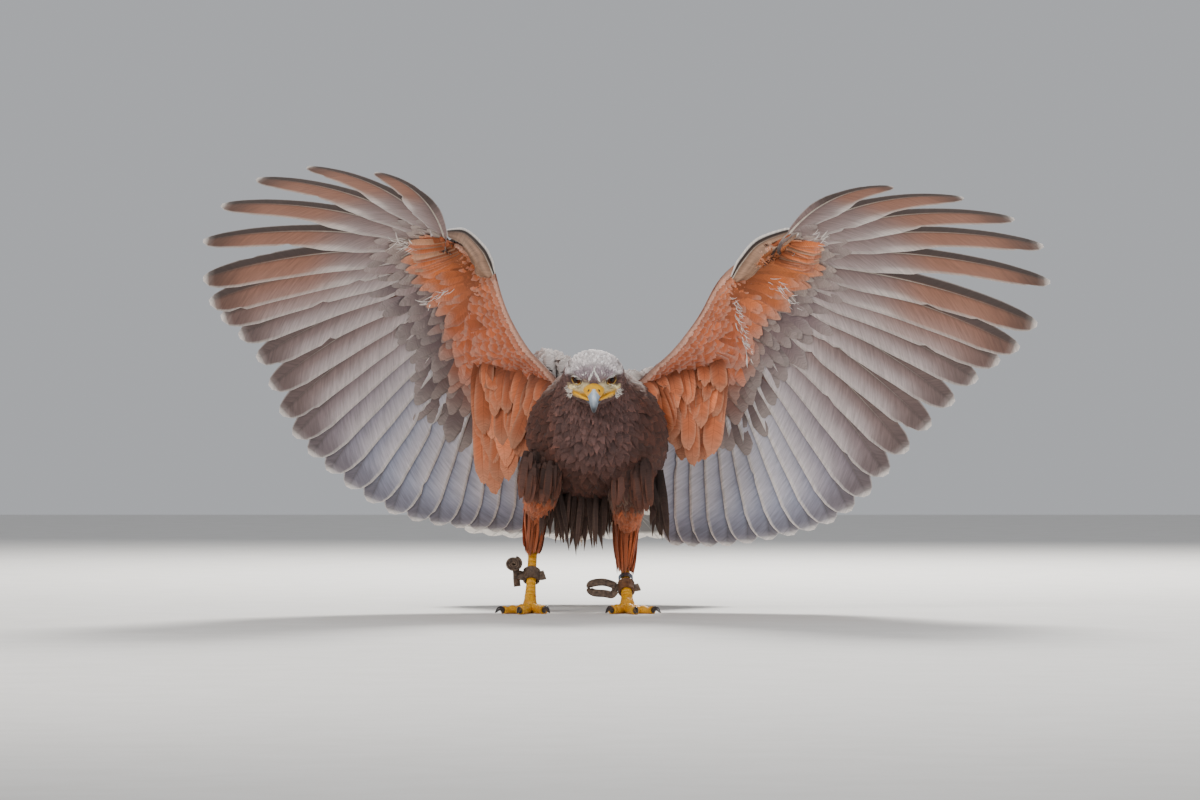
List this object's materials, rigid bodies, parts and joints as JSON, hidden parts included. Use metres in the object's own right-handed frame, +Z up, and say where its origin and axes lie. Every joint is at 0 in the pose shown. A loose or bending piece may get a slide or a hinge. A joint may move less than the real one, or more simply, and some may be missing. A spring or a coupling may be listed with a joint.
{
  "type": "harris hawk",
  "caption": "Life-size Harris's hawk standing with both wings raised and fanned, head lowered, wearing leather anklets and a leg ring.",
  "frame": {"origin": "middle of the overall box, at the floor under the feet", "axes": "+Z up, +X to the bird's left, and the bird faces -Y"},
  "size_m": [0.8306, 0.6568, 0.4395],
  "materials": {
    "body_feathers": "soft matt dark brown body feathers",
    "flight_feathers": "matt grey-brown flight feathers with rufous coverts",
    "thigh_feathers": "soft matt rufous feathers",
    "yellow_skin": "waxy yellow scaled skin",
    "bill": "smooth blue-grey horn, darker to the tip",
    "claws": "smooth dark horn",
    "eye": "wet dark brown eye",
    "worn_leather": "worn brown leather",
    "leg_ring": "brushed closed leg ring"
  },
  "bodies": {
    "root": {"torso": "body_feathers", "neck": "body_feathers", "head": "body_feathers", "eye_left": "eye", "eye_right": "eye", "cere": "yellow_skin", "bill_upper": "bill", "bill_lower": "bill", "thigh_left": "thigh_feathers", "thigh_right": "thigh_feathers", "tarsus_left": "yellow_skin", "tarsus_right": "yellow_skin", "foot_left": "yellow_skin", "foot_right": "yellow_skin", "claw_inner_left": "claws", "claw_middle_left": "claws", "claw_outer_left": "claws", "claw_hind_left": "claws", "claw_inner_right": "claws", "claw_middle_right": "claws", "claw_outer_right": "claws", "claw_hind_right": "claws", "hand_left": "flight_feathers", "hand_right": "flight_feathers", "forearm_left": "flight_feathers", "forearm_right": "flight_feathers", "upper_arm_left": "flight_feathers", "upper_arm_right": "flight_feathers", "alula_left": "flight_feathers", "alula_right": "flight_feathers", "tail": "flight_feathers", "anklet_left": "worn_leather", "anklet_right": "worn_leather", "jess_left": "worn_leather", "jess_right": "worn_leather", "leg_ring_left": "leg_ring"}
  },
  "joints": []
}
